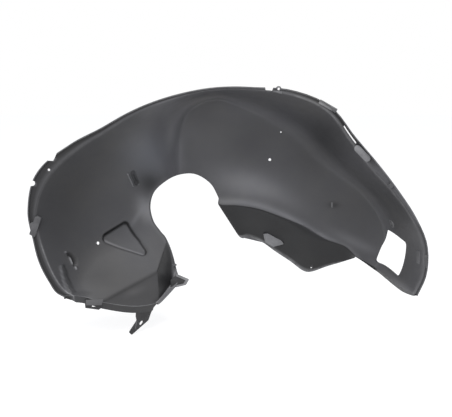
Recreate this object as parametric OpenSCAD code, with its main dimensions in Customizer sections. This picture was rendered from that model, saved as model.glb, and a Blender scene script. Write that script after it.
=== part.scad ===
// Front wheel arch liner for a passenger car, one moulded piece.
// Frame: the origin is midway between the two rim screws, in the plane of the rim y = 0.
// The inboard wall lies at positive y, x runs along the car and z is up.
// The forms are drawn round the wheel axis and moved into this frame at the end.

/* [Arch] */
// Radius of the rim round the wheel axis (mm)
arch_r = 420; // [330:5:520]
// Distance from the rim plane to the inboard wall (mm)
depth = 200; // [150:5:260]
// Wall thickness of the moulding (mm)
wall = 2.5; // [1.8:0.1:4]

/* [Edges] */
// Width factor of the turned flange along the rim
flange_k = 1; // [0.7:0.05:1.4]
// Drop of the flange under the rear panel (mm)
rear_drop = 17; // [10:1:26]
// Drop of the flange under the front end (mm)
front_drop = 11; // [7:1:20]

/* [Window] */
// Length of the window along the barrel (mm)
window_l = 108; // [70:1:120]
// Height of the window round the barrel (mm)
window_h = 69; // [40:1:75]
// Corner radius of the window (mm)
window_r = 8; // [3:0.5:14]

/* [Holes] */
// Screw holes in the rim flange (mm)
screw_d = 5; // [3.5:0.1:6]
// Radius of the circle of the rim screws round the wheel axis (mm)
screw_r = 430.5; // [429:0.5:433]
// Width of the slot in the foot of the leg (mm)
slot_w = 6.5; // [4:0.1:8]
// Clip holes in the walls (mm)
clip_d = 6; // [4:0.1:9]

/* [Recess] */
// Depth of the three cornered recess in the rear panel (mm)
recess_t = 9; // [5:0.5:14]

/* [Hidden] */
$fn = 16;

k = arch_r / 420;
kd = depth / 200;

// Stations round the arch from the front end over the top to the rear corner.
// angle on the rim, rim radius, barrel draft, inner edge x, inner edge z,
// flange width, lip depth, skirt x, skirt y, skirt z
stations = [
  [-1, 397, 52, 299, 35, 6, -3, 0, 18, -8],
  [5, 416, 46, 276, 50, 6, -3, -5, 30, -34.5],
  [13, 425, 41, 251, 66, 6, -3, -11, 50, -64.5],
  [21, 418.5, 38, 226, 80, 6, -3, -17.5, 70, -94.5],
  [30, 406, 39, 198, 96, 9, -5, -9, 85, -111],
  [40, 397, 47, 171, 112, 14, -9, -10, 85, -106],
  [50, 406, 62, 131, 128, 10.5, -6, -5, 80, -98],
  [60, 428, 71, 82, 140, 9, -6, 14, 75, -88],
  [71, 427, 61, 37, 147, 7, -4, 28, 65, -80],
  [80, 418, 43, -5, 150, 4, -3, 43, 60, -78],
  [85.5, 415, 31, -8, 169, 3.5, -3, 0, 8, 0],
  [92, 412, 20, -26, 200, 3.5, -3, 0, 8, 0],
  [103, 406, 24, -60, 220.5, 5, -3, 0, 8, 0],
  [117, 403, 85, -99.5, 218.5, 7, -3, 0, 8, 0],
  [126, 403, 124, -127, 205, 9.5, -3.5, 0, 8, 0],
  [134, 411, 168, -148, 183.5, 15, -4, 0, 8, 0],
  [147, 422, 208, -155.5, 153, 23, -4, 0, 8, 0],
  [157, 411, 226, -149, 121, 15, -4, 0, 8, 0],
  [164, 386, 220, -135, 99, 12.5, -4, 0, 8, 0],
  [170.5, 361.5, 209, -119, 77, 15.5, -4, 0, 8, 0],
  [177, 336.5, 193, -106, 27, 14.5, -4, 3, 6, 0],
  [180.2, 320, 186, -106, -13, 17.5, -4, 8, -12, -1],
  [181.8, 305, 188, -141, -48, 17, -4, 4, -12, 1]
];
last = len(stations) - 1;

function clamp(a, lo, hi) = max(lo, min(hi, a));
function mix(a, b, t) = a + (b - a) * t;
function unit(v) = v / max(norm(v), 1e-9);

// Soft minimum and maximum of two depths, r is the blend size.
function smin(a, b, r) = min(a, b) - pow(max(r - abs(a - b), 0), 2) / (4 * r);
function smax(a, b, r) = -smin(-a, -b, r);

// Station row at the running position u, on a smooth curve through the rows.
function row(u) =
  let (i = clamp(floor(u), 0, last - 1), t = u - i)
  let (a = stations[max(i - 1, 0)], b = stations[i])
  let (c = stations[i + 1], d = stations[min(i + 2, last)])
  (2 * b + (c - a) * t + (2 * a - 5 * b + 4 * c - d) * t * t + (3 * b - a - 3 * c + d) * t * t * t) / 2;

to_angle = [for (i = [0 : last]) [i, stations[i][0]]];
to_u = [for (i = [0 : last]) [stations[i][0], i]];
function ang(u) = lookup(u, to_angle);

// Column c as a smooth function of the rim angle.
function sl(i, c) =
  let (a = stations[max(i - 1, 0)], b = stations[min(i + 1, last)])
  (b[c] - a[c]) / (b[0] - a[0]);
function by_angle(th, c) =
  let (u = lookup(th, to_u), i = clamp(floor(u), 0, last - 1), t = u - i)
  let (p = stations[i], q = stations[i + 1], h = q[0] - p[0], t2 = t * t, t3 = t2 * t)
  (2 * t3 - 3 * t2 + 1) * p[c] + (t3 - 2 * t2 + t) * h * sl(i, c)
  + (3 * t2 - 2 * t3) * q[c] + (t3 - t2) * h * sl(i + 1, c);

// Signed distance of a point from the line through a and b, positive on its left.
function side(p, a, b) = cross(unit(b - a), p - a);

// Shape of the bowl: depth behind the rim plane at x, z, before scaling.
// inboard wall with a band leaning out above the skirt, rear wall, barrel,
// rear panel and the pocket pressed into its lower corner
wall_fold = [[-13, 227], [155, 130]];
rear_fold = [[-129, 312], [-87.5, 239]];
rear_lean = 0.3;
band_lean = 0.28;
panel_at = [-309, -8];
panel_y = 10;
panel_slope = [0.433, 0.781];
pocket_fold = [[-217, -14], [-139, 19], [-120, 77]];
function bowl(p) =
  let (r = norm(p), a0 = atan2(p[1], p[0]), th = a0 < -90 ? a0 + 360 : a0)
  let (barrel = (by_angle(th, 1) - r) * 200 / by_angle(th, 2))
  let (band = 200 - band_lean * side(p, wall_fold[0], wall_fold[1]))
  let (rear = 200 - rear_lean * side(p, rear_fold[1], rear_fold[0]))
  let (w = smin(smax(200, band, 14), rear, 12))
  let (kb = lookup(th, [[0, 60], [60, 60], [80, 50], [96, 36], [106, 58], [116, 90], [140, 110], [182, 50]]))
  let (panel = panel_y + (p - panel_at) * panel_slope)
  let (floor1 = panel - 0.75 * side(p, pocket_fold[0], pocket_fold[1]))
  let (floor2 = panel - 1.9 * side(p, pocket_fold[1], pocket_fold[2]))
  let (low = smax(panel, smax(floor1, floor2, 5), 5))
  smin(smin(w, barrel, kb), low, 14);

// Surface point on the wheel side, u round the arch and s from inner edge to rim.
function spot(u, s) =
  let (e = row(u), th = ang(u), r = by_angle(th, 1))
  let (bow = 70 * clamp(u - last + 1, 0, 1) * s * pow(1 - s, 2) + 50 * clamp(1 - u, 0, 1) * s * s * (1 - s))
  let (p = mix([e[3], e[4]], r * [cos(th), sin(th)], s) - [0, bow])
  [k * p[0], kd * bowl(p), k * p[1]];

// Depth and normal of the wheel side surface over a point given at full size.
function surf(x, z) = kd * bowl([x / k, z / k]);
function slope_n(x, z) =
  unit([surf(x + 2, z) - surf(x - 2, z), -4, surf(x, z + 2) - surf(x, z - 2)]);

// Rows across the wall, closer where the wall turns into the barrel.
rows = 16;
function across(u, j) =
  let (e = row(u), th = ang(u), r = by_angle(th, 1), d = by_angle(th, 2))
  let (w = norm([e[3], e[4]] - r * [cos(th), sin(th)]))
  let (turn = clamp(1 - d / w, 0.25, 0.88), q = 0.1)
  lookup(j, [[0, 0], [5, turn - q], [11, min(turn + q, 0.94)], [rows, 1]]);

function skirt(u) = let (e = row(u)) [k * e[7], kd * e[8], k * e[9]];
function rimdir(u) = [cos(ang(u)), 0, sin(ang(u))];
front_v = [5, 4, -front_drop];
rear_v = [0, 12, -rear_drop];

// Grid point, j below 0 runs down the skirt and j above rows runs out on the flange.
function edge_part(u, j) =
  let (e = row(u), f = e[5] * flange_k)
  j < 0 ? skirt(u) * lookup(-j, [[1, 0.1], [2, 0.55], [3, 1]]) :
  j <= rows ? [0, 0, 0] :
  j == rows + 1 ? rimdir(u) * f * 0.3 :
  j == rows + 2 ? rimdir(u) * f :
  rimdir(u) * f + [0, e[6], 0];
function gp(u, j, ev) = spot(u, across(u, clamp(j, 0, rows))) + edge_part(u, j) + ev;

// Positions round the arch, closer where the section changes fast.
function run(a, b, n) = [for (i = [0 : (b - a) * n - 1]) a + i / n];
us = concat(run(0, 11, 3), run(11, 16, 5), run(16, 19, 4), run(19, last, 6), [last]);
cols = concat([-2, -1], us, [last + 1, last + 2]);

// Flange of an end of the arch, shorter towards its two corners.
function front_fade(j) = lookup(j, [[-1, 0.05], [0, 0.12], [5, 0.8], [rows - 2, 1], [rows, 0.5], [rows + 1, 0.25]]);
function rear_fade(j) = lookup(j, [[-1, 0.1], [0, 0.4], [1, 0.75], [2, 1], [rows, 1], [rows + 1, 0.7], [rows + 2, 0.4]]);
function end_part(u, j) =
  u < 0 ? front_v * front_fade(j) * (u < -1.5 ? 1 : 0.25) :
  u > last ? rear_v * rear_fade(j) * (u > last + 1.5 ? 1 : 0.2) :
  [0, 0, 0];
js = [for (j = [-3 : rows + 3]) j];
grid = [for (u = cols) [for (j = js) gp(clamp(u, 0, last), j, end_part(u, j))]];
nc = len(cols);
nr = len(js);

function qn(i, j) =
  (i < 0 || j < 0 || i > nc - 2 || j > nr - 2) ? [0, 0, 0] :
  unit(cross(grid[i + 1][j + 1] - grid[i][j], grid[i][j + 1] - grid[i + 1][j]));
quad_n = [for (i = [0 : nc - 2]) [for (j = [0 : nr - 2]) qn(i, j)]];
function qv(i, j) = (i < 0 || j < 0 || i > nc - 2 || j > nr - 2) ? [0, 0, 0] : quad_n[i][j];
function count_q(i, j) = ((i > 0 && i < nc - 1) ? 2 : 1) * ((j > 0 && j < nr - 1) ? 2 : 1);
function back_n(i, j) =
  let (m = (qv(i - 1, j - 1) + qv(i, j - 1) + qv(i - 1, j) + qv(i, j)) / count_q(i, j))
  m / max(m * m, 0.4);

shell_pts = concat(
  [for (i = [0 : nc - 1]) for (j = [0 : nr - 1]) grid[i][j]],
  [for (i = [0 : nc - 1]) for (j = [0 : nr - 1]) grid[i][j] + wall * back_n(i, j)]
);
half = nc * nr;
function id(i, j) = i * nr + j;
shell_faces = concat(
  [for (i = [0 : nc - 2]) for (j = [0 : nr - 2]) each [
    [id(i, j), id(i + 1, j), id(i + 1, j + 1)],
    [id(i, j), id(i + 1, j + 1), id(i, j + 1)],
    [half + id(i, j), half + id(i + 1, j + 1), half + id(i + 1, j)],
    [half + id(i, j), half + id(i, j + 1), half + id(i + 1, j + 1)]
  ]],
  [for (i = [0 : nc - 2]) each [
    [id(i, 0), half + id(i, 0), half + id(i + 1, 0)],
    [id(i, 0), half + id(i + 1, 0), id(i + 1, 0)],
    [id(i, nr - 1), half + id(i + 1, nr - 1), half + id(i, nr - 1)],
    [id(i, nr - 1), id(i + 1, nr - 1), half + id(i + 1, nr - 1)]
  ]],
  [for (j = [0 : nr - 2]) each [
    [id(0, j), half + id(0, j + 1), half + id(0, j)],
    [id(0, j), id(0, j + 1), half + id(0, j + 1)],
    [id(nc - 1, j), half + id(nc - 1, j), half + id(nc - 1, j + 1)],
    [id(nc - 1, j), half + id(nc - 1, j + 1), id(nc - 1, j + 1)]
  ]]
);

module shell() {
  polyhedron(points = shell_pts, faces = shell_faces, convexity = 10);
}

// A flat plate drawn in x and z, from y to y + t.
module plate(y, t) {
  translate([0, y + t, 0]) rotate([90, 0, 0]) linear_extrude(t) children();
}

// Moves to the wheel side surface over x, z with the local z axis along its normal.
module on_wall(x, z) {
  n = slope_n(k * x, k * z);
  translate([k * x, surf(k * x, k * z), k * z])
    rotate([0, acos(n[2]), atan2(n[1], n[0])]) children();
}

// Moves into the rim plane at an angle, x pointing outwards from the rim.
module on_rim(th, dr = 0) {
  translate((k * by_angle(th, 1) + dr) * [cos(th), 0, sin(th)])
    rotate([0, -th, 0]) children();
}

// Moves to a rim screw at an angle, in the rim plane, x pointing outwards.
screw_at = [144.3, 74.4];
function screw_pos(th) = k * screw_r * [cos(th), 0, sin(th)];
screw_mid = (screw_pos(screw_at[0]) + screw_pos(screw_at[1])) / 2;
module on_screw(th) {
  translate(screw_pos(th)) rotate([0, -th, 0]) children();
}

// Moves to the crest of the rear edge, x running along the crest, then down the flange by v.
module on_rear(s, v = [0, 0, 0]) {
  p = spot(last, s);
  q = spot(last, s + 0.1);
  translate(p + v) rotate([0, 0, atan2(p[1] - q[1], p[0] - q[0])]) children();
}

module rounded(r, pts) {
  offset(r = r, $fn = 12) offset(delta = -r) polygon(pts);
}

// Window through the front barrel, cut across the fillet of the wall.
window_mid = [-90, 57];
module window_cut() {
  rotate([0, 0, 35])
    translate([300 * k, k * window_mid[0], k * window_mid[1]])
      rotate([90, 0, 90])
        linear_extrude(170)
          scale([window_l / 108, window_h / 69])
            rounded(window_r, [[-57, 27], [-46, -47], [60, -36], [49.5, 3], [36, 41]]);
}

// Recess in the rear panel: a tray let in behind the panel.
panel_n = unit([kd / k * panel_slope[0], -1, kd / k * panel_slope[1]]);
tray_mid = [-209, 90];
tray_pts = [[-1, -63], [-43, 14], [55, 49]];
tray_foot = 0.84;
module at_tray() {
  y = kd * (panel_y + (tray_mid - panel_at) * panel_slope);
  translate([k * tray_mid[0], y, k * tray_mid[1]])
    rotate([0, acos(panel_n[2]), atan2(panel_n[1], panel_n[0])]) children();
}
module tray_shape(grow) {
  offset(r = 6 + grow, $fn = 20) offset(delta = -6) polygon(k * tray_pts);
}
module tray_out() {
  at_tray()
    translate([0, 0, -recess_t - wall])
      linear_extrude(recess_t + wall - 0.6, scale = 1 / tray_foot) scale(tray_foot) tray_shape(wall * 1.4);
}
module tray_in() {
  at_tray() {
    translate([0, 0, -recess_t])
      linear_extrude(recess_t, scale = 1 / tray_foot) scale(tray_foot) tray_shape(0);
    linear_extrude(12) tray_shape(0);
  }
}

// Leg with a slotted foot under the rear panel.
leg_at = 0.13;
leg_y = 0.4;
module leg() {
  on_rear(leg_at, rear_v) {
    plate(leg_y, wall)
      rounded(1.5, [[-24, 4], [-25, -6], [-23, -15], [-42.5, -38.5], [-36, -45], [6, -19], [14, -1], [21, 6]]);
    translate([-26, leg_y, -25])
      rotate([0, 15, 0]) translate([-1.5, -1.5, -9]) cube([3, 2, 18]);
  }
}
module leg_slot() {
  on_rear(leg_at, rear_v)
    translate([-12, -5, -22])
      rotate([-90, 0, 0]) {
        translate([-1.4, 1.4, 0]) cylinder(d = slot_w, h = 12);
        translate([1.4, -1.4, 0]) cylinder(d = slot_w, h = 12);
      }
}

// Clip plate on the rear flange with its loop.
module rear_plate() {
  on_rear(0.745) {
    plate(-1, wall) rounded(1.5, [[-19, 1], [18, 1], [14, -12], [-18, -11]]);
    translate([0, 2, 0]) plate(0, 3) rounded(1.5, [[-21, -3], [16, -5], [15, -17], [8, -22], [-3, -20], [-20, -17]]);
  }
}
module rear_plate_slot() {
  on_rear(0.745)
    translate([-6, -4, -15.5]) cube([9, 14, 3]);
}

// Lug with a raised border beside the pocket.
module lug() {
  pts = [[-112, -8], [-98, 6], [-71, -6], [-78, -18], [-98, -23], [-112, -25]];
  y = surf(-105 * k, -14 * k) - 11 * kd;
  plate(y, wall) rounded(2, k * pts);
  plate(y - 2, 3) difference() {
    rounded(2, k * pts);
    translate(k * [-3, 0]) offset(delta = -3.5) polygon(k * pts);
    translate(k * [-114, -40]) square(k * [14, 60]);
  }
}
module thorn() {
  plate(surf(-104 * k, 20 * k) - 2 * kd, 4 * kd) polygon(k * [[-109, 17], [-98, 23], [-103, 27], [-109, 25]]);
}

// Box shaped foot and lip on the lower edge of the skirt.
foot_pts = [[79, 77], [121, 81], [143, 54], [118, 47], [98, 60]];
module foot() {
  plate(255 * kd, 26 * kd) rounded(2, k * foot_pts);
}
module foot_hollow() {
  plate(255 * kd + wall, 60) offset(delta = -wall) rounded(2, k * foot_pts);
}
module skirt_lip() {
  a = spot(9, 0) + skirt(9);
  b = spot(8, 0) + skirt(8);
  translate(a) rotate([0, 0, atan2(b[1] - a[1], b[0] - a[0])])
    plate(-1, wall) polygon(k * [[0, 3], [60, -8], [58, -19], [4, -4]]);
}

// Pads, ribs and bosses standing on the walls.
module wall_details() {
  on_wall(-195.6, 216) rotate([0, 0, 30]) translate([-15, -1.5, -2]) cube([30, 3, 5.5]);
  on_wall(-188, 220) rotate([0, 0, 30]) translate([-14, -5, -2]) cube([28, 9, 3.6]);
  on_wall(-315, 56) rotate([0, 0, 25]) translate([-18, -1.5, -2]) cube([36, 3, 5]);
  on_wall(374, 117) translate([0, 0, -2]) cylinder(r = 10, h = 4);
  on_wall(411, 66) translate([-14, -10, -2]) cube([28, 16, 3.5]);
  on_wall(246, 152) translate([-4, -10, -2]) cube([8, 20, 3.2]);
  on_wall(-324, 20) rotate([0, 90, 8]) translate([1.8, 0, -27]) cylinder(r = 3.6, h = 54, $fn = 12);
}

// Tabs and ears along the rim.
module rim_details() {
  on_rim(screw_at[1]) plate(0.3, wall - 0.6) hull() {
    translate([k * (screw_r - by_angle(screw_at[1], 1)), 0]) circle(r = screw_d / 2 + 3.2);
    translate([-1, -9]) square([3, 18]);
  }
  on_rim(60.5) plate(-4.3, wall + 4) translate([4, -20]) square([9, 40]);
  on_rim(58.6) plate(-8.6, 9.4) translate([7, -5]) square([6, 8]);
  on_rim(46, 2) plate(-4.3, 5) hull() {
    translate([2, 14]) circle(r = 7);
    translate([2, -14]) circle(r = 7);
  }
  on_rim(32.5) plate(-5.6, 6.6) translate([2, -5]) square([8, 10]);
  on_rim(8.7) plate(-3.4, wall + 3) polygon([[1, -16], [5, -16], [8.8, 8], [8, 12], [1, 12]]);
  on_rim(160.3) plate(-4.4, wall + 4) polygon([[-4, -20], [5, -22], [9, -18], [9, 20], [-4, 22]]);
  on_rim(160.4) plate(-4.2, wall + 3.7) translate([8, 0]) circle(r = 7);
  on_rim(162.2) plate(-4.3, wall + 3.9) translate([9, 0]) circle(r = 6);
}
// Band along the rim between two angles, from a to b outside the rim.
function rim_pt(th, off) = (k * by_angle(th, 1) + off * flange_k) * [cos(th), sin(th)];
module rim_band(th, a, b) {
  polygon(concat([for (t = th) rim_pt(t, a)], [for (i = [len(th) - 1 : -1 : 0]) rim_pt(th[i], b)]));
}

module rim_cuts() {
  plate(-12, 24) rim_band([48.2, 50, 52, 53.9], 5, 7.6);
  on_rim(76.9) plate(-10, 16) polygon([[-3.5, -6], [-3, 4], [0, 6], [24, 16], [24, -9], [2, -7]]);
  on_rim(140.6) plate(-10, 20) polygon([[20 * flange_k, -10], [40, -12], [40, 14], [24 * flange_k, 14], [16 * flange_k, 8]]);
  for (th = screw_at) on_screw(th) plate(-10, 20) circle(d = screw_d);
  on_rim(150) plate(-10, 20) translate([24 * flange_k, -2]) circle(r = 6);
}

module holes() {
  on_wall(107, 253) translate([0, 0, -10]) cylinder(d = clip_d, h = 20);
  on_wall(131, 314) translate([0, 0, -10]) cylinder(d = clip_d / 2, h = 20);
  on_wall(-263, 84.5) translate([0, 0, -10]) cylinder(d = clip_d + 1, h = 20);
  translate([k * 207, kd * 240, k * -4]) rotate([-90, 0, 0]) cylinder(d = clip_d / 2, h = kd * 60);
}

module liner() {
  color([0.16, 0.16, 0.17])
    translate(-screw_mid) difference() {
      union() {
        shell();
        union() {
          tray_out();
          leg();
          rear_plate();
          lug();
          thorn();
          foot();
          skirt_lip();
          wall_details();
          rim_details();
        }
      }
      union() {
        window_cut();
        tray_in();
        leg_slot();
        rear_plate_slot();
        foot_hollow();
        rim_cuts();
        holes();
      }
    }
}

liner();
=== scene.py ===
import math

import bmesh
import bpy
import numpy as np
from mathutils import Matrix, Vector
from mathutils.kdtree import KDTree

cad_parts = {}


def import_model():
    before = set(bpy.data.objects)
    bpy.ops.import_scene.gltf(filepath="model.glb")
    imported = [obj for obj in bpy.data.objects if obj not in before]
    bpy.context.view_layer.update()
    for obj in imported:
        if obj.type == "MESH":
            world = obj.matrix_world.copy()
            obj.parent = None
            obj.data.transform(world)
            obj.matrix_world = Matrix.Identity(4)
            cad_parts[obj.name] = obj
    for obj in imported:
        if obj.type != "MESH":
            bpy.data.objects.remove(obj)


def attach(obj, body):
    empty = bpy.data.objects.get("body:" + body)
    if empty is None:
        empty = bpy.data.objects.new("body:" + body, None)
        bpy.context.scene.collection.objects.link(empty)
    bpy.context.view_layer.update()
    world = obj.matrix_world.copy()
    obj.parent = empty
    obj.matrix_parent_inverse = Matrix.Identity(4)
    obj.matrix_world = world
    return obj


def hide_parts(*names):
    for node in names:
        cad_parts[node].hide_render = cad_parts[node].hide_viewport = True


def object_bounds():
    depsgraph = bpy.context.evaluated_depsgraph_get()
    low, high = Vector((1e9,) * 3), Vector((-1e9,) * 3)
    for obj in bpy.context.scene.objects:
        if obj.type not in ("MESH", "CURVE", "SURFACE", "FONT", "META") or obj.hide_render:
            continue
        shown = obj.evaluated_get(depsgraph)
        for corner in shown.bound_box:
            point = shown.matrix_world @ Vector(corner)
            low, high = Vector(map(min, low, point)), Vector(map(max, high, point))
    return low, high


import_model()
cad_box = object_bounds()

# All forms are drawn in millimetres round the wheel axis: x to the front, y inboard, z up.
MM = 0.001
WALL = 2.5
# This brings them into the frame of the rim screws, in metres.
SHIFT = Vector((0.116915, 0.0, -0.332925))

# Main form

# Stations along the arch: angle, rim radius, draft of the barrel over the wall's depth, inner edge
# x and z, flange width, lip, skirt x, y, z
STATIONS = np.array([
    [-1, 397, 52, 299, 35, 6, -3, 0, 18, -8],
    [5, 416, 46, 276, 50, 6, -3, -5, 30, -34.5],
    [13, 425, 41, 251, 66, 6, -3, -11, 50, -64.5],
    [21, 418.5, 38, 226, 80, 6, -3, -17.5, 70, -94.5],
    [30, 406, 39, 198, 96, 9, -5, -9, 85, -111],
    [40, 397, 47, 171, 112, 14, -9, -10, 85, -106],
    [50, 406, 62, 131, 128, 10.5, -6, -5, 80, -98],
    [60, 428, 71, 82, 140, 9, -6, 14, 75, -88],
    [71, 427, 61, 37, 147, 7, -4, 28, 65, -80],
    [80, 418, 43, -5, 150, 4, -3, 43, 60, -78],
    [85.5, 415, 31, -8, 169, 3.5, -3, 0, 8, 0],
    [92, 412, 20, -26, 200, 3.5, -3, 0, 8, 0],
    [103, 406, 24, -60, 220.5, 5, -3, 0, 8, 0],
    [117, 403, 85, -99.5, 218.5, 7, -3, 0, 8, 0],
    [126, 403, 124, -127, 205, 9.5, -3.5, 0, 8, 0],
    [134, 411, 168, -148, 183.5, 15, -4, 0, 8, 0],
    [147, 422, 208, -155.5, 153, 23, -4, 0, 8, 0],
    [157, 411, 226, -149, 121, 15, -4, 0, 8, 0],
    [164, 386, 220, -135, 99, 12.5, -4, 0, 8, 0],
    [170.5, 361.5, 209, -119, 77, 15.5, -4, 0, 8, 0],
    [177, 336.5, 193, -106, 27, 14.5, -4, 3, 6, 0],
    [180.2, 320, 186, -106, -13, 17.5, -4, 8, -12, -1],
    [181.8, 305, 188, -141, -48, 17, -4, 4, -12, 1],
], float)
RIM, DRAFT = 1, 2
INNER, FLANGE, LIP, SKIRT = slice(3, 5), slice(5, 6), slice(6, 7), slice(7, 10)
# the barrel runs into the wall more softly beside the cut-out
STATIONS[12:15, DRAFT] += (10, 42, 26)
# the crease hangs lower under the middle of the arch and higher at its front end
CREASE = np.array([0, 7, 0, -7, -11, -10, -6], float)
STATIONS[:7, 4] += CREASE
STATIONS[:7, 9] -= CREASE
LAST = len(STATIONS) - 1
# how the plastic folds back at the front and the rear end
FRONT_FOLD = np.array([5.0, 4.0, -11.0])
REAR_FOLD = np.array([0.0, 12.0, -17.0])

# Wall behind the barrel: its depth, and the lines from which it comes forward, with slope and blend
WALL_Y = 200
BAND = ((-13, 227), (155, 130), 0.28, 14)
REAR = ((-87.5, 239), (-129, 312), 0.3, 12)
# width of the blend between barrel and wall, over the angle
BARREL_BLEND = ([0, 60, 80, 96, 106, 116, 140, 182], [60, 60, 56, 90, 140, 150, 140, 50])
# Rear panel: a point of it, its slopes over x and z, and its blend into the rest
PANEL_AT = (-309.0, 10.0, -8.0)
PANEL_SLOPE = (0.433, 0.781)
PANEL_BLEND = 14
# Pocket in the panel: where its lower and its right side begin, and their slopes
POCKET = (((-217, -14), (-139, 19), 0.75), ((-139, 19), (-120, 77), 1.9))
POCKET_BLEND = 2


def smin(a, b, r):
    """The lesser of a and b, with the corner between them rounded over r."""
    return np.minimum(a, b) - np.maximum(r - np.abs(a - b), 0) ** 2 / (4 * r)


def smax(a, b, r):
    return -smin(-a, -b, r)


def side(x, z, a, b):
    """Distance from the line through a and b, positive on its left."""
    dx, dz = b[0] - a[0], b[1] - a[1]
    n = math.hypot(dx, dz)
    return (dx * (z - a[1]) - dz * (x - a[0])) / n


def row(u):
    """Smooth curve through the rows of STATIONS at running positions u."""
    u = np.atleast_1d(u)
    i = np.clip(np.floor(u).astype(int), 0, LAST - 1)
    t = (u - i)[:, None]
    a, b = STATIONS[np.maximum(i - 1, 0)], STATIONS[i]
    c, d = STATIONS[i + 1], STATIONS[np.minimum(i + 2, LAST)]
    return (2 * b + (c - a) * t + (2 * a - 5 * b + 4 * c - d) * t ** 2 + (3 * b - a - 3 * c + d) * t ** 3) / 2


def angle_at(u):
    return np.interp(u, np.arange(LAST + 1), STATIONS[:, 0])


def by_angle(th, c):
    """Smooth curve through column c of the stations, over the angle th."""
    u = np.interp(th, STATIONS[:, 0], np.arange(LAST + 1))
    i = np.clip(np.floor(u).astype(int), 0, LAST - 1)
    t = u - i
    h = STATIONS[i + 1, 0] - STATIONS[i, 0]

    def slope(k):
        lo, hi = np.maximum(k - 1, 0), np.minimum(k + 1, LAST)
        return (STATIONS[hi, c] - STATIONS[lo, c]) / (STATIONS[hi, 0] - STATIONS[lo, 0])

    t2, t3 = t * t, t * t * t
    return ((2 * t3 - 3 * t2 + 1) * STATIONS[i, c] + (t3 - 2 * t2 + t) * h * slope(i)
            + (3 * t2 - 2 * t3) * STATIONS[i + 1, c] + (t3 - t2) * h * slope(i + 1))


def wall_and_barrel(x, z):
    """Depth behind the rim plane of the wall and of the barrel, each by itself."""
    r, th = np.hypot(x, z), np.degrees(np.arctan2(z, x))
    th = np.where(th < -90, th + 360, th)
    barrel = (by_angle(th, RIM) - r) * WALL_Y / by_angle(th, DRAFT)
    band = WALL_Y - BAND[2] * side(x, z, BAND[0], BAND[1])
    rear = WALL_Y - REAR[2] * side(x, z, REAR[0], REAR[1])
    wall = smin(smax(WALL_Y + 0 * x, band, BAND[3]), rear, REAR[3])
    return wall, barrel, th


def panel_depth(x, z):
    return PANEL_AT[1] + (x - PANEL_AT[0]) * PANEL_SLOPE[0] + (z - PANEL_AT[2]) * PANEL_SLOPE[1]


def pocket_sides(x, z):
    """Depth of the pocket's lower and right side behind the panel."""
    return [-slope * side(x, z, a, b) for a, b, slope in POCKET]


def bowl(x, z):
    """Depth of the wheel side surface behind the rim plane."""
    wall, barrel, th = wall_and_barrel(x, z)
    panel = panel_depth(x, z)
    below, right = pocket_sides(x, z)
    low = smax(panel, smax(panel + below, panel + right, POCKET_BLEND), POCKET_BLEND)
    return smin(smin(wall, barrel, np.interp(th, *BARREL_BLEND)), low, PANEL_BLEND)


def normal_at(x, z):
    n = np.stack([bowl(x + 2, z) - bowl(x - 2, z), -4 + 0 * x, bowl(x, z + 2) - bowl(x, z - 2)], -1)
    return n / np.linalg.norm(n, axis=-1, keepdims=True)


def surface_axes(n):
    """Two axes square to n: down the surface, and across it."""
    t, p = math.acos(n[2]), math.atan2(n[1], n[0])
    down = np.array([math.cos(t) * math.cos(p), math.cos(t) * math.sin(p), -math.sin(t)])
    return down, np.array([-math.sin(p), math.cos(p), 0.0])


def wall_point(x, z):
    return np.array([float(x), float(bowl(np.array(float(x)), np.array(float(z)))), float(z)])


def local_frame(x, z):
    """Point on the wheel side, its normal, and two axes in the surface."""
    n = normal_at(np.array(float(x)), np.array(float(z)))
    down, across = surface_axes(n)
    return wall_point(x, z), n, down, across


def smooth(t):
    t = np.clip(t, 0, 1)
    return t * t * (3 - 2 * t)


def bell(d, width):
    """1 where d is 0, falling off softly."""
    return np.exp(-(d / width) ** 2)


def polygon_distance(px, py, pts):
    """Signed distance from a polygon, negative inside."""
    d = np.full(px.shape, 1e9)
    inside = np.zeros(px.shape, bool)
    for (ax, ay), (bx, by) in zip(pts, pts[1:] + pts[:1]):
        ex, ey = bx - ax, by - ay
        t = np.clip(((px - ax) * ex + (py - ay) * ey) / (ex * ex + ey * ey), 0, 1)
        d = np.minimum(d, np.hypot(px - ax - t * ex, py - ay - t * ey))
        cross = (ay > py) != (by > py)
        inside ^= cross & (px < (bx - ax) * (py - ay) / (by - ay + 1e-12) + ax)
    return np.where(inside, -d, d)


def inset(pts, d):
    """Polygon moved inwards by d."""
    out = []
    for i, b in enumerate(pts):
        a, c = pts[i - 1], pts[(i + 1) % len(pts)]
        u = np.array(b, float) - a
        v = np.array(c, float) - b
        u /= np.linalg.norm(u)
        v /= np.linalg.norm(v)
        area = sum(p[0] * q[1] - p[1] * q[0] for p, q in zip(pts, pts[1:] + pts[:1]))
        s = 1 if area > 0 else -1
        n1, n2 = np.array([-u[1], u[0]]) * s, np.array([-v[1], v[0]]) * s
        m = n1 + n2
        out.append(tuple(np.array(b) + m * d / (1 + n1 @ n2)))
    return out


# Ribs and recesses in the walls

# Recess in the rear panel: middle, corners down and across the panel, rounding, depth, and the width
# of its steep sides and of its slanted one
TRAY_MID = (-209.0, 90.0)
TRAY = [(3.3, -68.0), (-30.5, 4.0), (8.0, 31.0), (57.0, 52.0)]
TRAY_ROUND = 11
TRAY_DEPTH = 5.5
TRAY_STEEP, TRAY_SLANT = 3.6, 12.0
# nothing farther than this from the wall belongs to a rib or recess in it
REACH = 40
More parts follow.
